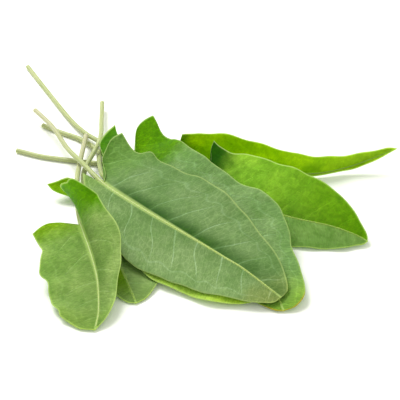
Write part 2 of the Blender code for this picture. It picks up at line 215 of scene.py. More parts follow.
# From the lowest leaf to the topmost, the order in which their blades are laid. A half's back edge
# runs from the stalk to the tip of the lobe and its side edge on from there to the leaf's tip. Its
# fold is in degrees above level at the lobe, the base, the middle and the tip.
LEAVES = [
    Leaf(
        "leaf_far",
        stalk=[(-60, 49.5, 1.3), (-51, 43, 1.3), (-42, 38.5, 1.4), (-28, 37, 3)],
        rib=[
            (-11, 34, 6), (9, 28, 5), (35, 22, 3.5), (66, 22, 2.5), (85, 26, 3.5), (101, 29, 8),
            (116, 30, 15),
        ],
        left=Half(
            back=[(0, 1), (0, 6), (-1, 10), (0, 14)],
            side=[
                (0, 14), (5, 15), (10, 17), (20, 20), (33, 21), (46, 20), (58, 18), (70, 15), (89, 11),
                (105, 8), (118, 5), (127, 3), (132, 0),
            ],
            fold=(70, 70, 94, 80),
            wave=0.5,
        ),
        right=Half(
            back=[(0, 1), (-1, 3), (-3, 6)],
            side=[
                (-3, 6), (25, 11), (50, 8), (70, 3), (85, 2), (96, 2), (105, 3), (113, 3), (122, 2),
                (132, 0),
            ],
            fold=(-8, -8, -10, 0),
            wave=0.4,
        ),
        look=Look(
            left=(0.38, 0.53, 0.0),
            right=(0.38, 0.50, 0.01),
            left_lobe=(0.09, 0.21, 0.0),
            right_lobe=(0.09, 0.21, 0.0),
            left_tip=(0.44, 0.54, 0.04),
            right_tip=(0.44, 0.54, 0.04),
            tip_from=0.35,
            through=0.5,
            veins=0.15,
            mottle=0.45,
            fibre=0.4,
        ),
        seed=1,
    ),
    Leaf(
        "leaf_right",
        stalk=[
            (-111, 47, 1.3), (-96, 41, 1.3), (-84, 38, 1.4), (-70, 35, 1.5), (-57, 32, 1.9),
            (-38, 24, 4), (-18, 13, 7),
        ],
        rib=[
            (3, 3, 9), (17, -6, 9), (34, -17, 8), (50, -25, 7.5), (72, -31, 6), (85, -36, 4),
            (92, -40, 2.5),
        ],
        left=Half(
            back=[(0, 0.5), (-1, 8), (-2, 15), (-4, 20), (-4, 25)],
            side=[
                (-4, 25), (1, 23), (7, 22), (14, 25), (23, 26), (37, 27), (52, 27), (67, 24), (78, 19),
                (86, 13), (93, 7), (98, 3), (100, 0),
            ],
            fold=(36, 36, 42, 30),
            curl=5,
            lobe_lift=2,
            wave=0.4,
        ),
        right=Half(
            back=[(0, 0.5), (-5, 8), (-10, 16)],
            side=[
                (-10, 16), (5, 20), (35, 22), (61, 18), (75, 16), (88, 12), (96, 6), (99, 3), (100, 0),
            ],
            fold=(-6, -6, -14, -12),
            curl=-14,
            wave=0.5,
        ),
        look=Look(
            left=(0.43, 0.64, 0.07),
            right=(0.38, 0.56, 0.18),
            left_lobe=(0.035, 0.17, 0.0),
            right_lobe=(0.10, 0.26, 0.02),
            left_tip=(0.18, 0.38, 0.0),
            right_tip=(0.27, 0.42, 0.12),
            tip_from=0.15,
            through=0.4,
            veins=0.2,
            mottle=0.6,
            midrib=1.6,
            fibre=0.45,
        ),
        seed=2,
    ),
    Leaf(
        "leaf_low",
        stalk=[
            (-62, 94, 5), (-61, 74, 6.2), (-60, 50, 8.7), (-62, 38, 9.2), (-67, 24, 6.2), (-68, 14, 3),
        ],
        rib=[(-64, 5, 2), (-56, -20, 1.6), (-46, -50, 1.6), (-33, -88, 0.8)],
        left=Half(
            back=[(0, 1), (-1, 8), (-1, 17)],
            side=[(-1, 17), (30, 26), (60, 25), (76, 22), (85, 17), (91, 12), (96, 6), (98, 0)],
            fold=(3, 3, 1, 2),
        ),
        right=Half(
            back=[(0, 1), (-5, 4), (-9, 9), (-9, 13), (-8, 17), (-7, 23)],
            side=[
                (-7, 23), (-3, 21), (1, 17), (4, 13), (8, 8), (16, 6), (26, 8), (40, 13), (60, 15),
                (85, 10), (95, 5), (98, 0),
            ],
            fold=(8, 8, 4, 2),
            lobe_lift=5,
        ),
        look=Look(
            left=(0.40, 0.53, 0.21),
            right=(0.26, 0.44, 0.01),
            left_lobe=(0.15, 0.33, 0.02),
            right_lobe=(0.27, 0.46, 0.0),
            left_tip=(0.28, 0.41, 0.12),
            right_tip=(0.28, 0.41, 0.12),
            veins=0.4,
        ),
        seed=3,
    ),
    Leaf(
        "leaf_behind",
        stalk=[
            (-115, 143, 1.3), (-97, 109, 1.3), (-81, 79, 1.9), (-70, 61.5, 3.6), (-60, 49.5, 4.8),
            (-55, 33, 5.8), (-49, 20, 5.5),
        ],
        rib=[(-40, 8, 4), (-18, -10, 4.5), (8, -32, 4.5), (29, -57, 3.5), (38, -76, 2.5), (43, -94, 1)],
        left=Half(
            back=[(0, 1), (-6, 9), (-12, 17), (-17, 22), (-20, 27), (-20, 33), (-18, 39)],
            side=[
                (-18, 39), (-14, 38), (-8, 36), (-3, 36), (5, 38), (12, 39), (26, 36), (43, 33),
                (57, 31), (69, 33), (80, 33), (88, 29), (96, 25), (101, 21), (106, 19), (117, 17),
                (126, 15), (132, 12), (136, 6), (136, 0),
            ],
            fold=(24, 24, 27, 12),
            lobe_lift=8,
            wave=0.6,
        ),
        right=Half(
            back=[(0, 1), (-8, 7), (-14, 16)],
            side=[(-14, 16), (0, 22), (40, 27), (85, 25), (115, 17), (127, 12), (134, 5), (136, 0)],
            fold=(3, 3, -2, -2),
        ),
        look=Look(
            left=(0.31, 0.46, 0.19),
            right=(0.20, 0.35, 0.10),
            left_lobe=(0.18, 0.40, 0.0),
            right_lobe=(0.12, 0.28, 0.02),
            left_tip=(0.34, 0.51, 0.07),
            right_tip=(0.34, 0.51, 0.07),
            tip_rim=(0.70, 0.42, 0.05),
            veins=0.7,
            rim=0.55,
        ),
        seed=4,
    ),
    Leaf(
        "leaf_under",
        stalk=[
            (-98, 74, 1.3), (-86, 66, 1.4), (-73, 57.7, 1.9), (-61, 43.5, 3), (-60, 33, 5.6),
            (-58, 20, 6),
        ],
        rib=[(-53, 8, 7), (-28, -22, 7.3), (-2, -50, 6.3), (17, -72, 4.2), (31, -87, 1.5)],
        left=Half(
            back=[(0, 1), (-8, 5), (-20, 9), (-27, 12), (-30, 19), (-31, 26)],
            side=[
                (-31, 26), (-26, 24), (-21, 23), (-14, 21), (-5, 20), (10, 23), (25, 26), (50, 27),
                (78, 24), (102, 17), (118, 9), (124, 4), (127, 0),
            ],
            fold=(14, 14, 12, 6),
            lobe_lift=6,
            wave=0.5,
        ),
        right=Half(
            back=[(0, 1), (-2, 4), (-4, 9)],
            side=[
                (-4, 9), (8, 18), (40, 28), (68, 32), (80, 32), (92, 28), (105, 23), (112, 19),
                (118, 14), (123, 9), (126, 4), (127, 0),
            ],
            fold=(0, 0, -4, -4),
            curl=-4,
            wave=0.3,
        ),
        look=Look(
            left=(0.11, 0.33, 0.0),
            # The right half, seen as a band below leaf_front, is coloured brighter than its own green:
            # painted light coming through it where leaf_front shades it
            right=(0.60, 0.72, 0.15),
            left_lobe=(0.11, 0.32, 0.0),
            right_lobe=(0.12, 0.30, 0.02),
            left_tip=(0.40, 0.56, 0.01),
            right_tip=(0.48, 0.64, 0.06),
            mottle=0.2,
        ),
        seed=5,
    ),
    Leaf(
        "leaf_front",
        stalk=[(-103, 81, 8), (-90, 61, 9), (-79, 38, 9.5), (-68, 19, 12)],
        rib=[(-55, -1, 13), (-33, -22, 12), (-9, -43, 11), (18, -65, 8), (42, -87, 3)],
        left=Half(
            back=[(0, 1), (-4, 5), (-12, 9), (-15, 14), (-18, 21), (-17, 28)],
            side=[
                (-17, 28), (-8, 27), (-1, 28), (6, 33), (15, 32), (29, 32), (45, 34), (62, 33),
                (79, 29), (93, 24), (107, 19), (117, 15), (125, 10), (130, 5), (130, 0),
            ],
            fold=(10, 10, 16, 12),
            curl=8,
            lobe_lift=7,
            wave=0.6,
        ),
        right=Half(
            back=[(0, 1), (-5, 4), (-10, 5), (-15, 3.5)],
            side=[
                (-15, 3.5), (-8, 8), (6, 16), (24, 25), (51, 33), (69, 32), (96, 26), (112, 19),
                (122, 13), (129, 6), (130, 0),
            ],
            fold=(6, 6, -10, -6),
            curl=-8,
            wave=0.6,
        ),
        look=Look(
            left=(0.235, 0.365, 0.14),
            right=(0.28, 0.41, 0.165),
            left_lobe=(0.18, 0.34, 0.07),
            right_lobe=(0.24, 0.38, 0.10),
            left_tip=(0.26, 0.36, 0.11),
            right_tip=(0.29, 0.36, 0.11),
            tip_from=0.88,
            rim=0.5,
            through=0.25,
            veins=0.8,
            shade=1.0,
        ),
        seed=6,
        also_over=("leaf_small",),
    ),
    Leaf(
        "leaf_small",
        stalk=[
            (-69, 55, 7.2), (-70.3, 38, 6.5), (-71, 24, 6.8), (-71, 14, 8.3), (-70.5, 4, 9.4),
            (-69, -14, 9.2),
        ],
        rib=[(-65.5, -32, 8), (-59, -53, 6.5), (-54, -73, 4.5), (-52, -94, 2), (-53, -108, 1)],
        left=Half(
            back=[(0, 1), (-5, 3), (-10, 4), (-15, 6), (-19, 9), (-20, 13), (-18, 17), (-14, 20)],
            side=[
                (-14, 20), (-12, 24), (-8, 24), (-2, 23), (4, 22), (10, 22), (18, 23), (24, 23),
                (30, 22), (37, 19), (43, 17), (51, 13), (62, 10), (72, 5), (78, 0),
            ],
            fold=(130, 75, 52, 25),
            curl=-25,
            wave=0.5,
        ),
        right=Half(
            back=[(0, 0.5), (1, 5), (0, 9), (-1, 13), (1, 20), (8, 29)],
            side=[
                (8, 29), (15, 27), (20, 26), (27, 28), (31, 29), (36, 30), (40, 29), (44, 27), (48, 26),
                (53, 26), (58, 25), (62, 24), (67, 21), (70, 20), (73, 19), (76, 14), (79, 7), (79, 0),
            ],
            fold=(15, 15, 8, 4),
            wave=1.0,
        ),
        look=Look(
            left=(0.39, 0.51, 0.18),
            right=(0.35, 0.485, 0.15),
            left_lobe=(0.20, 0.45, 0.0),
            right_lobe=(0.31, 0.47, 0.0),
            left_tip=(0.31, 0.45, 0.10),
            right_tip=(0.31, 0.45, 0.10),
            veins=0.4,
            shade=0.4,
            midrib=3.4,
        ),
        seed=7,
    ),
]


def smooth_path(points, per_span):
    """Points of a smooth curve through the given ones."""
    p = np.array(points, float)
    p = np.vstack([2 * p[0] - p[1], p, 2 * p[-1] - p[-2]])
    found = []
    for i in range(1, len(p) - 2):
        for t in np.linspace(0, 1, per_span, endpoint=False):
            start = 2 * p[i]
            slope = p[i + 1] - p[i - 1]
            bend = 2 * p[i - 1] - 5 * p[i] + 4 * p[i + 1] - p[i + 2]
            twist = -p[i - 1] + 3 * p[i] - 3 * p[i + 1] + p[i + 2]
            found.append((start + slope * t + bend * t * t + twist * t**3) / 2)
    found.append(p[-2])
    return np.array(found)


def soften(values, axis, steps):
    """Values that are nowhere lower than the given ones and change gently along the axis."""
    edge = [(0, 0)] * values.ndim
    for _ in range(steps):
        edge[axis] = (1, 1)
        wide = np.pad(values, edge, mode="edge")
        rolled = [np.roll(wide, k, axis) for k in (-1, 0, 1)]
        top = np.max(rolled, axis=0)
        mean = (np.roll(top, 1, axis) + top + np.roll(top, -1, axis)) / 3
        values = np.take(mean, range(1, values.shape[axis] + 1), axis)
    return values


def empty_field():
    return np.zeros((FIELD_X[1] - FIELD_X[0], FIELD_Y[1] - FIELD_Y[0]))


def height_field(points):
    """The highest of the points over each square millimetre, and 0 where there are none."""
    field = empty_field()
    flat = points.reshape(-1, 3)
    i = np.rint(flat[:, 0]).astype(int) - FIELD_X[0]
    j = np.rint(flat[:, 1]).astype(int) - FIELD_Y[0]
    np.maximum.at(field, (i, j), flat[:, 2])
    return field


def spread(field):
    """The field widened by REACH on every side and then smoothed over the same reach."""
    wide = field.copy()
    for i in range(-REACH, REACH + 1):
        for j in range(-REACH, REACH + 1):
            if i * i + j * j <= REACH * REACH:
                np.maximum(wide, np.roll(field, (i, j), (0, 1)), out=wide)
    half = REACH // 2
    for _ in range(2):
        for axis in (0, 1):
            wide = sum(np.roll(wide, k, axis) for k in range(-half, half + 1)) / (2 * half + 1)
    return wide


def read_field(field, points):
    """The field's height under each of the points."""
    x = np.clip(points[..., 0] - FIELD_X[0], 0, field.shape[0] - 2)
    y = np.clip(points[..., 1] - FIELD_Y[0], 0, field.shape[1] - 2)
    i = x.astype(int)
    j = y.astype(int)
    u = x - i
    v = y - j
    low = field[i, j] * (1 - u) + field[i + 1, j] * u
    high = field[i, j + 1] * (1 - u) + field[i + 1, j + 1] * u
    return low * (1 - v) + high * v


def rest_height(field, points, depth):
    """The lowest height at which something that reaches down by depth clears the field."""
    below = read_field(field, points)
    return below + (depth + GAP) * np.clip(below / FULL_GAP_HEIGHT, 0, 1)


def unit(v):
    return v / np.maximum(np.linalg.norm(v, axis=-1, keepdims=True), 1e-9)


class Spine:
    """A leaf's line, measured from the blade's base, the stalk as negative and the midrib as positive."""

    def __init__(self, leaf):
        self.leaf = leaf
        self.line = smooth_path(leaf.stalk + leaf.rib, CURVE_SAMPLES)
        run = np.concatenate([[0], np.cumsum(np.linalg.norm(np.diff(self.line, axis=0), axis=1))])
        base = run[len(leaf.stalk) * CURVE_SAMPLES]
        self.at = run - base
        self.stalk_length = base
        self.length = run[-1] - base

    def radius(self, s):
        share = np.clip(s / (NARROW_END * self.length), 0, 1)
        return self.leaf.stalk_width / 2 * (1 - NARROWING * share**NARROW_CURVE)

    def sink(self, s):
        """How far the middle of the midrib lies below the blade, so that it stands out by RIB_PROUD."""
        in_full = self.radius(s) - BLADE_THICK / 2 - RIB_PROUD
        return np.clip((s - SINK_FROM) / SINK_OVER, 0, 1) * in_full

    def lift_over(self, field):
        """Raise the midrib, and the stalk near it, to clear what lies below."""
        depth = self.radius(self.at) + self.sink(self.at)
        need = rest_height(field, self.line, depth) - self.line[:, 2]
        lift = np.clip(need, 0, None) * (self.at > LIFT_FROM)
        share = np.clip(1 + (self.at - LIFT_FROM) / LIFT_OVER, 0, 1)
        self.line[:, 2] += soften(lift, 0, LIFT_SOFTENING) * share

    def point(self, s):
        return np.stack([np.interp(s, self.at, self.line[:, k]) for k in range(3)], axis=-1)

    def tangent(self, s):
        s = np.clip(s, 1 - self.stalk_length, self.length - 1)
        return unit(self.point(s + 1) - self.point(s - 1))

    def axes(self, s):
        """Forward, left and up at places on the line."""
        forward = self.tangent(s)
        left = unit(np.cross((0, 0, 1), forward))
        return forward, left, np.cross(forward, left)


def along_path(points, count, last=False):
    """Evenly spaced points on the smooth curve through the given ones."""
    path = smooth_path(points, MARGIN_SAMPLES)
    run = np.concatenate([[0], np.cumsum(np.linalg.norm(np.diff(path, axis=0), axis=1))])
    t = np.linspace(0, run[-1], count, endpoint=last)
    return np.stack([np.interp(t, run, path[:, k]) for k in (0, 1)], axis=-1)


def outline_rows(half, length):
    """For each row of one half, base to tip: its place on the midrib and its end on the margin."""
    t = np.arange(SINUS_ROWS) / SINUS_ROWS
    back = np.column_stack([BACK_ROWS_SHARE * length * t, along_path(half.back, SINUS_ROWS)])
    t = np.linspace(0, 1, SIDE_ROWS + 1)
    side = along_path(half.side, SIDE_ROWS + 1, last=True)
    side[:, 0] *= length / half.side[-1][0]
    rib = BACK_ROWS_SHARE * length + (1 - BACK_ROWS_SHARE) * length * t**ROW_CROWDING
    return np.vstack([back, np.column_stack([rib, side[:, 0], np.maximum(side[:, 1], 0)])])


def fold_angle(half, length, along):
    """The fold above level, in radians, at places along the midrib."""
    return np.radians(np.interp(along, (-half.lobe_back, 0, 0.5 * length, length), half.fold))


def half_points(spine, half, side):
    """One half's middle surface as rows from the midrib out, and each point's place on the leaf.

    A place is how far along the leaf a point is, how far across, and its share of the way to the margin.
    """
    rows = outline_rows(half, spine.length)
    v = np.linspace(0, 1, HALF_COLUMNS + 1)[None, :]
    rib, y, margin = (rows[:, k][:, None] for k in range(3))
    along = rib + (y - rib) * v
    across = margin * v
    _, left, up = spine.axes(np.maximum(along, 0))
    back_of_base = spine.tangent(np.zeros(1)) * np.minimum(along, 0)[..., None]
    base = spine.point(np.maximum(along, 0)) + back_of_base
    fold = fold_angle(half, spine.length, along)
    bend = math.radians(half.curl) / half.width
    if abs(bend) < 1e-6:
        out = across * np.cos(fold)
        lift = across * np.sin(fold)
    else:
        out = (np.sin(fold + bend * across) - np.sin(fold)) / bend
        lift = (np.cos(fold) - np.cos(fold + bend * across)) / bend
    reach = across / np.maximum(margin, 1.0)
    turn = 2 * np.pi * (along / WAVE_LENGTH + half.wave_shift)
    ease = np.minimum(1.0, margin / (0.5 * half.width))
    lift = lift + half.wave * ease * reach**2 * np.sin(turn)
    lifting = LOBE_LIFT_SHARE * spine.length
    back = np.maximum(0.0, lifting - along) / (half.lobe_back + lifting)
    lift = lift + half.lobe_lift * back**2 * reach
    points = base + left * (side * out)[..., None] + up * lift[..., None]
    place = np.stack([along, side * across, np.broadcast_to(v, along.shape)], axis=-1)
    return points, place


def blade_sheets(leaf, spine, field):
    """The blade's two faces as grids of points, and the places on the leaf."""
    left, left_place = half_points(spine, leaf.left, 1)
    right, right_place = half_points(spine, leaf.right, -1)
    grid = np.concatenate([left[:, :0:-1], right], axis=1)
    place = np.concatenate([left_place[:, :0:-1], right_place], axis=1)
    need = rest_height(field, grid, BLADE_THICK / 2) - grid[..., 2]
    need[:, HALF_COLUMNS] = 0
    lift = soften(soften(np.clip(need, 0, None), 0, BLADE_SOFTENING), 1, BLADE_SOFTENING)
    from_rib = np.abs(np.arange(2 * HALF_COLUMNS + 1) - HALF_COLUMNS)
    lift *= np.minimum(1, from_rib / 2)
    grid[..., 2] += lift
    grid[-1] = grid[-1].mean(axis=0)
    normal = unit(np.cross(np.gradient(grid, axis=1), np.gradient(grid, axis=0)))
    normal[-1] = normal[-2].mean(axis=0)
    inward = np.clip((1 - place[..., 2:]) * EDGE_SLOPE, 0, 1) ** 0.5
    offset = normal * BLADE_THICK / 2 * (EDGE_SHARE + (1 - EDGE_SHARE) * inward)
    offset[-1] = offset[-1].mean(axis=0)
    grid[..., 2] = np.maximum(grid[..., 2], BLADE_THICK / 2)
    top = grid + offset
    under = grid - offset
    under[..., 2] = np.maximum(under[..., 2], 0.0)
    return top, under, place


def grid_faces(first, rows, columns, flip=False):
    """Quads of a grid whose points are numbered row by row from the first."""
    a = first + np.arange(rows - 1)[:, None] * columns + np.arange(columns - 1)[None, :]
    quads = np.stack([a, a + columns, a + columns + 1, a + 1], axis=-1).reshape(-1, 4)
    return quads[:, ::-1] if flip else quads


def stalk_run(spine):
    """Places along the leaf, the middle line of the stalk and midrib there, and its radius."""
    start = STALK_START - spine.stalk_length
    stop = MIDRIB_END * spine.length
    s = np.linspace(start, stop, int((stop - start) / STALK_STEP))
    up = spine.axes(s)[2]
    return s, spine.point(s) - up * spine.sink(s)[:, None], STALK_SHARE * spine.radius(s)


def stalk_cover(spine):
    """Points over the stalk's and midrib's upper side, for whatever lies on them."""
    s, centre, radius = stalk_run(spine)
    left = spine.axes(s)[1]
    angle = np.linspace(0, np.pi, COVER_POINTS)
    points = centre[:, None] + left[:, None] * (radius[:, None] * np.cos(angle))[..., None]
    points[..., 2] += radius[:, None] * np.sin(angle)
    return points


def in_metres(points):
    return ((points.reshape(-1, 3) - np.array([MIDDLE[0], MIDDLE[1], 0])) * MM).tolist()


def add_object(name, data):
    made = bpy.data.objects.new(name, data)
    bpy.context.scene.collection.objects.link(made)
    return made


def close_tip(mesh):
    """Merge the points that meet at the leaf's tip, so that the sheet has no open edge there."""
    work = bmesh.new()
    work.from_mesh(mesh)
    bmesh.ops.remove_doubles(work, verts=work.verts, dist=TIP_MERGE)
    bmesh.ops.recalc_face_normals(work, faces=work.faces)
    work.to_mesh(mesh)
    work.free()


def blade_object(leaf, sheets, material):
    """One blade as a closed sheet, with the places on the leaf kept as an attribute."""
    top, under, place = sheets
    rows, columns = top.shape[:2]
    count = rows * columns
    quads = [grid_faces(0, rows, columns, flip=True), grid_faces(count, rows, columns)]
    first = np.arange(columns)
    left = np.arange(rows) * columns
    right = left + columns - 1
    for edge, flip in ((first, True), (left, False), (right, True)):
        strip = np.stack([edge[:-1], edge[1:], edge[1:] + count, edge[:-1] + count], axis=-1)
        quads.append(strip[:, ::-1] if flip else strip)
    mesh = bpy.data.meshes.new(leaf.name + "_blade")
    mesh.from_pydata(in_metres(top) + in_metres(under), [], np.vstack(quads).tolist())
    mesh.shade_smooth()
    attribute = mesh.attributes.new("place", "FLOAT_VECTOR", "POINT")
    attribute.data.foreach_set("vector", np.concatenate([place.ravel(), place.ravel()]))
    close_tip(mesh)
    mesh.materials.append(material)
    return add_object(leaf.name + "_blade", mesh)


def stalk_object(leaf, spine, tree, material):
    """One stalk and midrib, made by the tree along the leaf's middle line."""
    s, centre, radius = stalk_run(spine)
    line = bpy.data.meshes.new(leaf.name + "_line")
    line.from_pydata(in_metres(centre), [(i, i + 1) for i in range(len(s) - 1)], [])
    for label, values in (("along", s), ("thickness", radius * MM)):
        line.attributes.new(label, "FLOAT", "POINT").data.foreach_set("value", values)
    path = add_object(leaf.name + "_line", line)
    modifier = path.modifiers.new("stalk", "NODES")
    modifier.node_group = tree
    for item in tree.interface.items_tree:
        if item.name == "Surface":
            modifier[item.identifier] = material
    graph = bpy.context.evaluated_depsgraph_get()
    whole = path.evaluated_get(graph)
    mesh = bpy.data.meshes.new_from_object(whole, preserve_all_data_layers=True, depsgraph=graph)
    path.modifiers.remove(modifier)
    bpy.data.objects.remove(path)
    return add_object(leaf.name + "_stalk", mesh)


class Nodes:
    """Short ways to make and join nodes."""

    def __init__(self, tree):
        self.tree = tree

    def add(self, kind, **settings):
        node = self.tree.nodes.new(kind)
        for key, value in settings.items():
            setattr(node, key, value)
        return node

    def put(self, socket, value):
        if isinstance(value, bpy.types.NodeSocket):
            self.tree.links.new(value, socket)
        elif value is not None:
            socket.default_value = value

    def split(self, vector):
        node = self.add("ShaderNodeSeparateXYZ")
        self.put(node.inputs[0], vector)
        return node.outputs

    def join(self, x=None, y=None, z=None):
        node = self.add("ShaderNodeCombineXYZ")
        for socket, value in zip(node.inputs, (x, y, z)):
            self.put(socket, value)
        return node.outputs[0]

    def math(self, operation, a, b=None):
        node = self.add("ShaderNodeMath", operation=operation)
        self.put(node.inputs[0], a)
        self.put(node.inputs[1], b)
        return node.outputs[0]

    def minus(self, a, b):
        return self.math("SUBTRACT", a, b)

    def times(self, *values):
        found = values[0]
        for value in values[1:]:
            found = self.math("MULTIPLY", found, value)
        return found

    def plus(self, *values):
        found = values[0]
        for value in values[1:]:
            found = self.math("ADD", found, value)
        return found

    def mix(self, factor, a, b, blend="MIX"):
        node = self.add("ShaderNodeMix", data_type="RGBA", blend_type=blend)
        self.put(node.inputs[0], factor)
        self.put(node.inputs[6], a)
        self.put(node.inputs[7], b)
        return node.outputs[2]

    def tint(self, factor, colour, by):
        """The colour multiplied by another, as far as the factor says."""
        return self.mix(factor, colour, by, "MULTIPLY")

    def step(self, value, low, high, out_low=0.0, out_high=1.0):
        node = self.add("ShaderNodeMapRange", interpolation_type="SMOOTHSTEP")
        for socket, given in zip(node.inputs, (value, low, high, out_low, out_high)):
            self.put(socket, given)
        return node.outputs[0]

    def shift(self, vector, by):
        node = self.add("ShaderNodeVectorMath", operation="ADD")
        self.put(node.inputs[0], vector)
        self.put(node.inputs[1], by)
        return node.outputs[0]

    def noise(self, vector, scale, detail, rough=0.5):
        node = self.add("ShaderNodeTexNoise")
        self.put(node.inputs["Vector"], vector)
        self.put(node.inputs["Scale"], scale)
        self.put(node.inputs["Detail"], detail)
        self.put(node.inputs["Roughness"], rough)
        return node.outputs["Fac"]

    def bump(self, height, strength, distance):
        node = self.add("ShaderNodeBump")
        self.put(node.inputs["Strength"], strength)
        self.put(node.inputs["Distance"], distance)
        self.put(node.inputs["Height"], height)
        return node.outputs[0]

    def attribute(self, label):
        """A number that is kept on the geometry's points under this name."""
        node = self.add("GeometryNodeInputNamedAttribute", data_type="FLOAT")
        self.put(node.inputs["Name"], label)
        return node.outputs["Attribute"]

    def keep(self, geometry, label, value, kind="FLOAT"):
        """The geometry with the value kept on its points under this name."""
        node = self.add("GeometryNodeStoreNamedAttribute", data_type=kind, domain="POINT")
        self.put(node.inputs["Geometry"], geometry)
        self.put(node.inputs["Name"], label)
        self.put(node.inputs["Value"], value)
        return node.outputs[0]

    def move(self, geometry, position):
        node = self.add("GeometryNodeSetPosition")
        self.put(node.inputs["Geometry"], geometry)
        self.put(node.inputs["Position"], position)
        return node.outputs[0]


def new_group(name, inputs, outputs, kind="ShaderNodeTree"):
    """A node group, its Nodes, its inputs as they come in and its outputs to be filled."""
    group = bpy.data.node_groups.new(name, kind)
    for label, socket_kind, value in inputs:
        socket = group.interface.new_socket(label, in_out="INPUT", socket_type=socket_kind)
        if value is not None:
            socket.default_value = value
    for label, socket_kind in outputs:
        group.interface.new_socket(label, in_out="OUTPUT", socket_type=socket_kind)
    nodes = Nodes(group)
    given = nodes.add("NodeGroupInput").outputs
    return group, nodes, given, nodes.add("NodeGroupOutput").inputs


def stalk_section(n, given):
    """The stalk's round section, one metre in radius, with a groove at the top and faint ribs."""
    circle = n.add("GeometryNodeCurvePrimitiveCircle")
    n.put(circle.inputs["Resolution"], given["Sides"])
    n.put(circle.inputs["Radius"], 1.0)
    position = n.add("GeometryNodeInputPosition").outputs[0]
    x, y, _ = n.split(position)
    # The section's own y runs down, so it is turned over to have the groove on top.
    angle = n.math("ARCTAN2", n.times(y, -1.0), x)
    from_top = n.math("DIVIDE", n.minus(angle, math.pi / 2), given["Groove Width"])
    groove = n.times(n.math("EXPONENT", n.times(from_top, from_top, -1.0)), given["Groove Depth"])
    ribs = n.times(n.math("COSINE", n.times(angle, given["Ribs"])), given["Rib Depth"])
    radius = n.minus(n.minus(1.0, groove), ribs)
    scaled = n.add("ShaderNodeVectorMath", operation="SCALE")
    n.put(scaled.inputs[0], position)
    n.put(scaled.inputs["Scale"], radius)
    section = n.move(circle.outputs["Curve"], scaled.outputs[0])
    # The turn round the stalk, from 0 at its underside.
    turn = n.math("FRACT", n.plus(n.math("DIVIDE", angle, 2 * math.pi), 0.25))
    return n.keep(section, "turn", turn)


def stalk_tree():
    """A closed tube along a line, as thick at each point as the line says and never below the floor."""
    group, n, given, result = new_group(
        "stalk_along_line",
        [
            ("Line", "NodeSocketGeometry", None),
            ("Sides", "NodeSocketInt", 20),
            ("Groove Depth", "NodeSocketFloat", 0.06),
            ("Groove Width", "NodeSocketFloat", 0.42),
            ("Ribs", "NodeSocketFloat", 7.0),
            ("Rib Depth", "NodeSocketFloat", 0.02),
            ("Surface", "NodeSocketMaterial", None),
        ],
        [("Stalk", "NodeSocketGeometry")],
        "GeometryNodeTree",
    )
    section = stalk_section(n, given)
    curve = n.add("GeometryNodeMeshToCurve")
    n.put(curve.inputs["Mesh"], given["Line"])
    level = n.add("GeometryNodeSetCurveNormal", mode="Z_UP")
    n.put(level.inputs["Curve"], curve.outputs[0])
    tube = n.add("GeometryNodeCurveToMesh")
    n.put(tube.inputs["Curve"], level.outputs[0])
    n.put(tube.inputs["Profile Curve"], section)
    n.put(tube.inputs["Scale"], n.attribute("thickness"))
    n.put(tube.inputs["Fill Caps"], True)
    place = n.join(n.attribute("along"), None, n.attribute("turn"))
    stalk = n.keep(tube.outputs[0], "place", place, "FLOAT_VECTOR")
    x, y, z = n.split(n.add("GeometryNodeInputPosition").outputs[0])
    stalk = n.move(stalk, n.join(x, y, n.math("MAXIMUM", z, 0.0)))
    smooth = n.add("GeometryNodeSetShadeSmooth")
    n.put(smooth.inputs["Geometry"], stalk)
    whole = n.add("GeometryNodeRealizeInstances")
    n.put(whole.inputs["Geometry"], smooth.outputs[0])
    finished = n.add("GeometryNodeSetMaterial")
    n.put(finished.inputs["Geometry"], whole.outputs[0])
    n.put(finished.inputs["Material"], given["Surface"])
    n.put(result["Stalk"], finished.outputs[0])
    return group


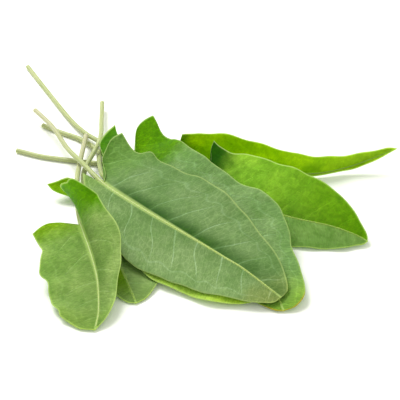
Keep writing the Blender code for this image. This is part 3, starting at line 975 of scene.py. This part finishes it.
def vein_group():
    """The side veins, which arch forward and join in loops near the margin, and the fine net."""
    group, n, given, result = new_group(
        "leaf_veins",
        [
            ("Place", "NodeSocketVector", None),
            ("Spacing", "NodeSocketFloat", 16.0),
            ("Width", "NodeSocketFloat", 0.42),
            ("Lean", "NodeSocketFloat", VEIN_LEAN),
            ("Arch", "NodeSocketFloat", 0.012),
            ("Wander", "NodeSocketFloat", 18.0),
            ("Stagger", "NodeSocketFloat", 5.5),
            ("Loop Share", "NodeSocketFloat", 0.76),
            ("Loop Swing", "NodeSocketFloat", 0.045),
            ("Loop Strength", "NodeSocketFloat", 0.4),
            ("Net Scale", "NodeSocketFloat", 0.28),
            ("Seed", "NodeSocketFloat", 0.0),
        ],
        [("Main", "NodeSocketFloat"), ("Net", "NodeSocketFloat"), ("Swell", "NodeSocketFloat")],
    )
    along, across, share = n.split(given["Place"])
    shifted = n.shift(given["Place"], n.join(None, None, n.times(given["Seed"], VEIN_SHIFT)))
    out = n.math("ABSOLUTE", across)
    drift = n.noise(shifted, scale=0.035, detail=0.6)
    wander = n.times(n.minus(drift, 0.5), given["Wander"])
    stagger = n.times(n.math("GREATER_THAN", across, 0.0), given["Stagger"])
    arch = n.plus(n.times(out, given["Lean"]), n.times(out, out, given["Arch"]))
    # The count grows by one from each vein to the next, and is halfway between whole numbers on a vein.
    count = n.math("DIVIDE", n.minus(n.plus(along, wander, stagger), arch), given["Spacing"])
    from_vein = n.math("ABSOLUTE", n.minus(n.math("FRACT", count), 0.5))
    from_vein = n.times(from_vein, given["Spacing"])
    # A vein is widest at the midrib, and narrow and faint near the margin.
    width = n.times(given["Width"], n.step(share, 0.0, 0.9, 1.25, 0.55), 1.6)
    side_vein = n.step(from_vein, 0.0, width, 1.0, 0.0)
    side_vein = n.times(side_vein, n.step(share, 0.55, 0.80, 1.0, 0.25))
    # The loops swing out at each vein and back in between two.
    swing = n.times(n.math("COSINE", n.times(count, 2 * math.pi)), given["Loop Swing"])
    from_loop = n.minus(share, n.minus(given["Loop Share"], swing))
    from_loop = n.times(n.math("ABSOLUTE", from_loop), LOOP_SCALE)
    loops = n.times(n.step(from_loop, 0.0, 0.9, 1.0, 0.0), given["Loop Strength"])
    n.put(result["Main"], n.math("MAXIMUM", side_vein, loops))
    net = n.add("ShaderNodeTexVoronoi", feature="DISTANCE_TO_EDGE")
    n.put(net.inputs["Vector"], shifted)
    n.put(net.inputs["Scale"], given["Net Scale"])
    n.put(result["Net"], n.step(net.outputs["Distance"], 0.0, 0.09, 1.0, 0.0))
    n.put(result["Swell"], n.step(from_vein, 0.0, 4.5))
    return group


@dataclass
class Spot:
    """What a blade's surface reads at a point: its place, three kinds of mottling and the veins."""

    along: object
    out: object
    share: object
    on_left: object
    broad: object
    patches: object
    fibres: object
    veins: object


def read_spot(n, given, veins):
    """The spot's values. Its out is the distance from the midrib, whichever half it is on."""
    along, across, share = n.split(given["Place"])
    out = n.math("ABSOLUTE", across)
    apart = n.times(given["Seed"], SEED_SHIFT)
    shifted = n.shift(given["Place"], n.join(None, None, apart))
    # The fibres run beside the side veins, so they are fine along the leaf and drawn out across it.
    level = n.minus(along, n.times(out, VEIN_LEAN))
    drawn_out = n.join(n.times(level, 1.5), n.times(across, 0.4), apart)
    vein = n.add("ShaderNodeGroup", node_tree=veins)
    n.put(vein.inputs["Place"], given["Place"])
    n.put(vein.inputs["Seed"], given["Seed"])
    return Spot(
        along=along,
        out=out,
        share=share,
        on_left=n.step(across, -0.6, 0.6),
        broad=n.noise(shifted, scale=0.05, detail=3.0, rough=0.55),
        patches=n.noise(shifted, scale=0.22, detail=4.0, rough=0.65),
        fibres=n.noise(drawn_out, scale=0.9, detail=4.0, rough=0.65),
        veins=vein.outputs,
    )


def green_with_painted_light(n, given, spot):
    """Each half's green, with the lobe's painted backlight and the tip's colours fading into it; the
    halves' greens are partly painted light and shade.
    """

    def by_half(part):
        return n.mix(spot.on_left, given["Right" + part], given["Left" + part])

    wander = n.times(n.minus(spot.broad, 0.5), COLOUR_WANDER)
    along = n.plus(spot.along, wander)
    from_lobe = n.minus(along, n.times(spot.out, 0.35))
    # The lobe's colour is painted backlight: the saturated green of light coming through the lobe
    colour = n.mix(n.step(from_lobe, *LOBE_GLOW_FADE), by_half(""), by_half(" Lobe"))
    tip_from = n.times(given["Length"], given["Tip From"])
    return n.mix(n.step(along, tip_from, given["Length"]), colour, by_half(" Tip"))


def painted_shade_beside_rib(n, given, spot):
    """The painted shade beside the midrib, where the blade creases, strong on the left half and fading
    towards base and tip.
    """
    length = given["Length"]
    left_most = n.step(spot.on_left, 0.0, 1.0, 0.3, 1.0)
    band = n.times(n.step(spot.out, *PAINTED_SHADE_BAND, 1.0, 0.0), left_most)
    from_base = n.step(spot.along, -5.0, n.times(length, 0.2))
    to_tip = n.step(spot.along, n.times(length, 0.5), length, 1.0, 0.4)
    between_veins = n.step(spot.veins["Swell"], 0.0, 1.0, 0.85, 1.05)
    return n.times(band, n.times(from_base, to_tip), between_veins)


def rib_edges(n, given, spot):
    """The pale band on both sides of the midrib, which narrows towards the tip."""
    narrowed = n.times(given["Midrib"], 0.3)
    edge = n.step(spot.along, 0.0, n.times(given["Length"], 0.8), given["Midrib"], narrowed)
    return n.step(spot.out, n.times(edge, 0.35), edge, 0.8, 0.0)


def margin_glow_rim(n, given, spot):
    """The thin rim along the margin, a painted glow of the backlight through the thin edge."""
    margin_ratio = n.math("DIVIDE", 1.0, n.math("MAXIMUM", spot.share, 0.01))
    from_margin = n.times(spot.out, n.minus(margin_ratio, 1.0))
    return n.times(n.step(from_margin, *RIM_GLOW_FADE, 1.0, 0.0), given["Rim"])


def blade_colour(n, given, spot):
    """A blade's green, partly painted light, under the mottling, the painted shade beside the midrib, the
    veins, the midrib's pale edges and the rim's painted glow.
    """
    colour = green_with_painted_light(n, given, spot)
    colour = n.tint(n.step(spot.broad, *PATCH_FADE), colour, DARK_PATCH)
    colour = n.tint(n.step(spot.fibres, *FIBRE_FADE, given["Fibre"], 0.0), colour, DARK_FIBRE)
    colour = n.tint(n.step(spot.patches, *PATCH_FADE, 0.0, given["Mottle"]), colour, DARK_MOTTLE)
    # Painted shade in the crease beside the midrib, as strong as the look's shade says
    colour = n.tint(n.times(painted_shade_beside_rib(n, given, spot), given["Shade"]), colour, PAINTED_SHADE_BESIDE_RIB)
    colour = n.tint(n.times(spot.veins["Net"], given["Veins"], NET_SHARE), colour, PALE_NET)
    colour = n.tint(n.times(spot.veins["Main"], given["Veins"]), colour, PALE_VEIN)
    colour = n.mix(rib_edges(n, given, spot), colour, RIB_COLOUR)
    near_tip = n.step(spot.along, n.times(given["Length"], 0.93), n.times(given["Length"], 0.98))
    # Near the tip the rim takes the tip rim's colour: leaf_behind's own browning there, the same painted
    # glow on the others
    rim = n.mix(near_tip, RIM_GLOW_COLOUR, given["Tip Rim"])
    return n.mix(margin_glow_rim(n, given, spot), colour, rim)


def blade_group(veins):
    """A blade's surface, with an input for each value of the leaf's look but through."""
    group, n, given, result = new_group(
        "leaf_blade",
        [
            ("Place", "NodeSocketVector", None),
            ("Seed", "NodeSocketFloat", 0.0),
            ("Length", "NodeSocketFloat", 100.0),
            ("Left", "NodeSocketColor", None),
            ("Right", "NodeSocketColor", None),
            ("Left Lobe", "NodeSocketColor", None),
            ("Right Lobe", "NodeSocketColor", None),
            ("Left Tip", "NodeSocketColor", None),
            ("Right Tip", "NodeSocketColor", None),
            ("Tip Rim", "NodeSocketColor", None),
            ("Tip From", "NodeSocketFloat", 0.78),
            ("Veins", "NodeSocketFloat", 0.35),
            ("Shade", "NodeSocketFloat", 0.25),
            ("Mottle", "NodeSocketFloat", 0.25),
            ("Rim", "NodeSocketFloat", 0.75),
            ("Midrib", "NodeSocketFloat", 2.7),
            ("Fibre", "NodeSocketFloat", 0.75),
        ],
        [
            ("Colour", "NodeSocketColor"),
            ("Roughness", "NodeSocketFloat"),
            ("Height", "NodeSocketFloat"),
        ],
    )
    spot = read_spot(n, given, veins)
    height = n.plus(
        n.times(spot.veins["Main"], -0.6),
        n.times(spot.fibres, 0.35),
        n.times(spot.veins["Swell"], 0.9),
        n.times(spot.veins["Net"], -0.25),
    )
    n.put(result["Colour"], blade_colour(n, given, spot))
    n.put(result["Roughness"], n.step(spot.fibres, 0.2, 0.8, 0.45, 0.62))
    n.put(result["Height"], height)
    return group


def new_material(name):
    """A material, its Nodes and its shader."""
    made = bpy.data.materials.new(name)
    made.use_nodes = True
    return made, Nodes(made.node_tree), made.node_tree.nodes["Principled BSDF"]


def leaf_material(leaf, length, surface):
    """The blade: mottled green, pale veins, painted shade beside the midrib, a rim of painted glow, a
    faint sheen, and light that comes through.
    """
    made, n, shader = new_material(leaf.name + "_blade")
    place = n.add("ShaderNodeAttribute", attribute_name="place")
    blade = n.add("ShaderNodeGroup", node_tree=surface)
    n.put(blade.inputs["Place"], place.outputs["Vector"])
    n.put(blade.inputs["Seed"], leaf.seed)
    n.put(blade.inputs["Length"], length)
    for name, value in vars(leaf.look).items():
        if name != "through":
            socket = blade.inputs[name.replace("_", " ").title()]
            n.put(socket, (*value, 1) if isinstance(value, tuple) else value)
    colour = blade.outputs["Colour"]
    relief = n.bump(blade.outputs["Height"], strength=0.4, distance=0.4 * MM)
    n.put(shader.inputs["Base Color"], colour)
    n.put(shader.inputs["Roughness"], blade.outputs["Roughness"])
    n.put(shader.inputs["Specular IOR Level"], 0.08)
    n.put(shader.inputs["Normal"], relief)
    through = n.add("ShaderNodeBsdfTranslucent")
    n.put(through.inputs["Color"], n.tint(1.0, colour, LIT_THROUGH))
    n.put(through.inputs["Normal"], relief)
    both = n.add("ShaderNodeMixShader")
    n.put(both.inputs[0], leaf.look.through)
    n.put(both.inputs[1], shader.outputs[0])
    n.put(both.inputs[2], through.outputs[0])
    n.put(made.node_tree.nodes["Material Output"].inputs["Surface"], both.outputs[0])
    return made


def stalk_material(name, pink, midrib):
    """The stalk and midrib: pale yellow-green with faint lines along it, pinker at the cut end."""
    made, n, shader = new_material(name)
    place = n.add("ShaderNodeAttribute", attribute_name="place")
    along, _, turn = n.split(place.outputs["Vector"])
    drawn_out = n.join(n.times(along, 0.06), n.times(turn, 14.0))
    lines = n.noise(drawn_out, scale=1.0, detail=2.0)
    colour = n.mix(n.step(lines, 0.35, 0.65), STALK_DARK, STALK_PALE)
    colour = n.mix(n.step(along, *PINK_FADE, 0.0, pink), colour, STALK_PINK)
    colour = n.mix(n.step(along, *MIDRIB_FADE), colour, midrib)
    n.put(shader.inputs["Base Color"], colour)
    n.put(shader.inputs["Roughness"], 0.4)
    n.put(shader.inputs["Specular IOR Level"], 0.3)
    n.put(shader.inputs["Subsurface Weight"], 0.7)
    n.put(shader.inputs["Subsurface Radius"], (1.0, 1.0, 0.6))
    n.put(shader.inputs["Subsurface Scale"], 1.5 * MM)
    n.put(shader.inputs["Normal"], n.bump(lines, strength=0.3, distance=0.2 * MM))
    return made


def build_leaves():
    """Lay the leaves one after another, each over the heights of those below."""
    surface = blade_group(vein_group())
    tree = stalk_tree()
    stalk = stalk_material("stalk", 0.1, GREEN_MIDRIB)
    pink_stalk = stalk_material("stalk_pink", 0.6, PALE_MIDRIB)
    spines = {leaf.name: Spine(leaf) for leaf in LEAVES}
    stalks = {name: height_field(stalk_cover(spine)) for name, spine in spines.items()}
    below = empty_field()
    for leaf in LEAVES:
        spine = spines[leaf.name]
        under = below
        for other in leaf.also_over:
            under = np.maximum(under, stalks[other])
        under = spread(under)
        spine.lift_over(under)
        sheets = blade_sheets(leaf, spine, under)
        blade = blade_object(leaf, sheets, leaf_material(leaf, spine.length, surface))
        own_stalk = pink_stalk if leaf.name in ("leaf_front", "leaf_small") else stalk
        tube = stalk_object(leaf, spine, tree, own_stalk)
        for points in (sheets[0], stalk_cover(spine)):
            below = np.maximum(below, height_field(points))
        for piece in (blade, tube):
            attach(piece, "root")
            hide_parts(leaf.name)


def build_floor():
    half = FLOOR_HALF
    z = -FLOOR_DROP
    mesh = bpy.data.meshes.new("floor")
    mesh.from_pydata(
        [(-half, -half, z), (half, -half, z), (half, half, z), (-half, half, z)],
        [],
        [(0, 1, 2, 3)],
    )
    made, _, shader = new_material("floor")
    shader.inputs["Base Color"].default_value = FLOOR_COLOUR
    shader.inputs["Roughness"].default_value = 0.75
    mesh.materials.append(made)
    add_object("floor", mesh)


def round_light(name, place, size, watts):
    """A disk of light that faces the middle of the bunch."""
    data = bpy.data.lights.new(name, "AREA")
    data.shape = "DISK"
    data.size = size
    data.energy = watts
    made = add_object(name, data)
    made.location = place
    made.rotation_euler = (-Vector(place)).to_track_quat("-Z", "Y").to_euler()


def build_light():
    world = bpy.data.worlds.new("soft_room")
    world.use_nodes = True
    background = world.node_tree.nodes["Background"]
    background.inputs["Color"].default_value = ROOM_COLOUR
    background.inputs["Strength"].default_value = ROOM_STRENGTH
    bpy.context.scene.world = world
    round_light("key", place=(-0.5, 0.66, 1.1), size=0.7, watts=17)
    round_light("fill", place=(0.3, -0.9, 0.9), size=1.2, watts=1.8)
    bpy.context.scene.view_settings.view_transform = "Standard"


def build_camera():
    elevation = math.radians(CAMERA_HEIGHT)
    data = bpy.data.cameras.new("camera")
    data.sensor_width = 36
    data.lens = CAMERA_LENS
    made = add_object("camera", data)
    made.location = (
        -MIDDLE[0] * MM,
        -MIDDLE[1] * MM - CAMERA_DISTANCE * math.cos(elevation),
        CAMERA_DISTANCE * math.sin(elevation),
    )
    made.rotation_euler = (math.pi / 2 - elevation, 0, 0)
    bpy.context.scene.camera = made


build_leaves()
build_floor()
build_light()
build_camera()
